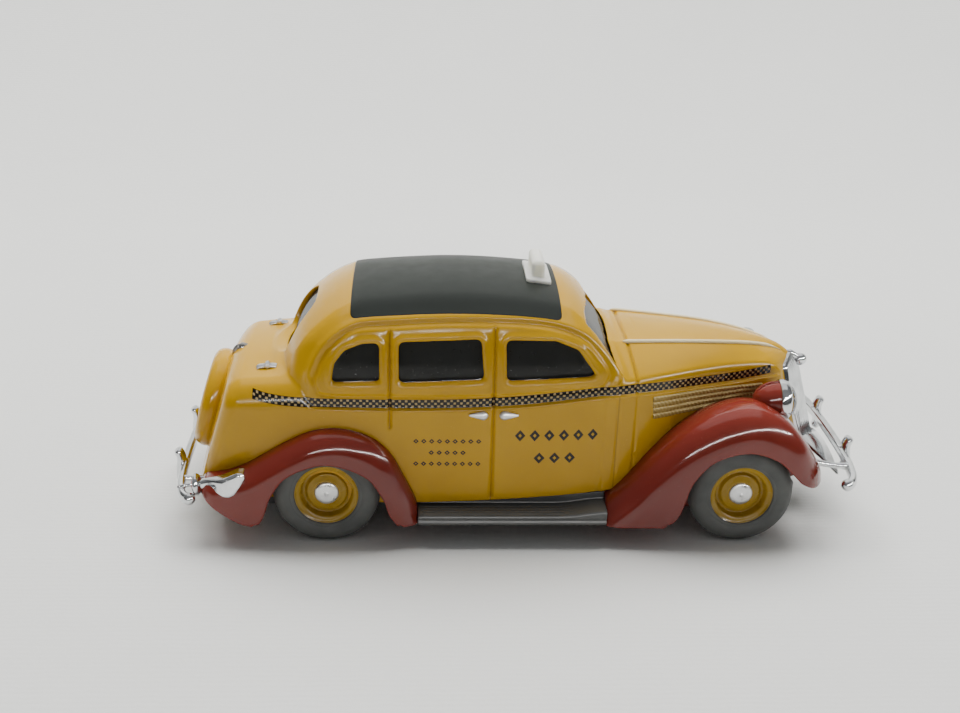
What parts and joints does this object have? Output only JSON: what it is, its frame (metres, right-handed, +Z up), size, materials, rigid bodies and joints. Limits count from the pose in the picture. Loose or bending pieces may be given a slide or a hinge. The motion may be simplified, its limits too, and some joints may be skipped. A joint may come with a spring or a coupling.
{
  "type": "diecast collector car",
  "caption": "Small-scale diecast model of a vintage four-door taxi sedan with trunk, separate fenders, chromed trim and rolling wheels.",
  "frame": {"origin": "on the ground, below the centre of the bounding box", "axes": "+X to the front of the car, +Y to its left side, +Z up"},
  "size_m": [0.113, 0.0406, 0.043],
  "materials": {
    "yellow_paint": "gloss",
    "red_paint": "gloss",
    "charcoal_trim": "matt",
    "clear_glazing": "clear",
    "lamp_lens": "clear, moulded",
    "tail_lens": "gloss",
    "interior_plastic": "matt",
    "black_base": "satin",
    "steel": "bright",
    "tyre": "matt",
    "yellow_wheel": "gloss",
    "silver_trim": "satin",
    "gold_louvre": "satin",
    "cream_plastic": "satin",
    "chrome_trim": "bright"
  },
  "bodies": {
    "chassis": {"base_plate": "black_base", "base_screws": "steel", "body_shell": "yellow_paint", "dashboard": "interior_plastic", "door_handle_front_left": "silver_trim", "door_handle_front_right": "silver_trim", "door_handle_rear_left": "silver_trim", "door_handle_rear_right": "silver_trim", "fender_casting": "red_paint", "front_bumper": "chrome_trim", "front_seat": "interior_plastic", "glazing": "clear_glazing", "grille": "chrome_trim", "grille_cap": "chrome_trim", "headlight_lens_left": "lamp_lens", "headlight_lens_right": "lamp_lens", "headlight_rim_left": "chrome_trim", "headlight_rim_right": "chrome_trim", "headlight_shell_left": "red_paint", "headlight_shell_right": "red_paint", "hood_louvres_left": "gold_louvre", "hood_louvres_right": "gold_louvre", "interior_tub": "interior_plastic", "rear_bumper": "chrome_trim", "rear_seat": "interior_plastic", "roof_insert": "charcoal_trim", "roof_sign": "cream_plastic", "running_board_left": "charcoal_trim", "running_board_right": "charcoal_trim", "spare_cap": "silver_trim", "spare_cover": "yellow_paint", "steering_wheel": "interior_plastic", "tail_lamp_left": "chrome_trim", "tail_lamp_right": "chrome_trim", "tail_lens_left": "tail_lens", "tail_lens_right": "tail_lens", "trunk_handle": "chrome_trim", "trunk_hinge_left": "silver_trim", "trunk_hinge_right": "silver_trim"},
    "front_wheels": {"front_axle": "steel", "hubcap_front_left": "silver_trim", "hubcap_front_right": "silver_trim", "tyre_front_left": "tyre", "tyre_front_right": "tyre", "wheel_front_left": "yellow_wheel", "wheel_front_right": "yellow_wheel"},
    "rear_wheels": {"hubcap_rear_left": "silver_trim", "hubcap_rear_right": "silver_trim", "rear_axle": "steel", "tyre_rear_left": "tyre", "tyre_rear_right": "tyre", "wheel_rear_left": "yellow_wheel", "wheel_rear_right": "yellow_wheel"}
  },
  "joints": [
    {"name": "front_axle_spin", "type": "hinge", "parent": "chassis", "child": "front_wheels", "pos_m": [0.0352, 0, 0.0084], "axis": [0, 1, 0], "continuous": true},
    {"name": "rear_axle_spin", "type": "hinge", "parent": "chassis", "child": "rear_wheels", "pos_m": [-0.031, 0, 0.0084], "axis": [0, 1, 0], "continuous": true}
  ]
}
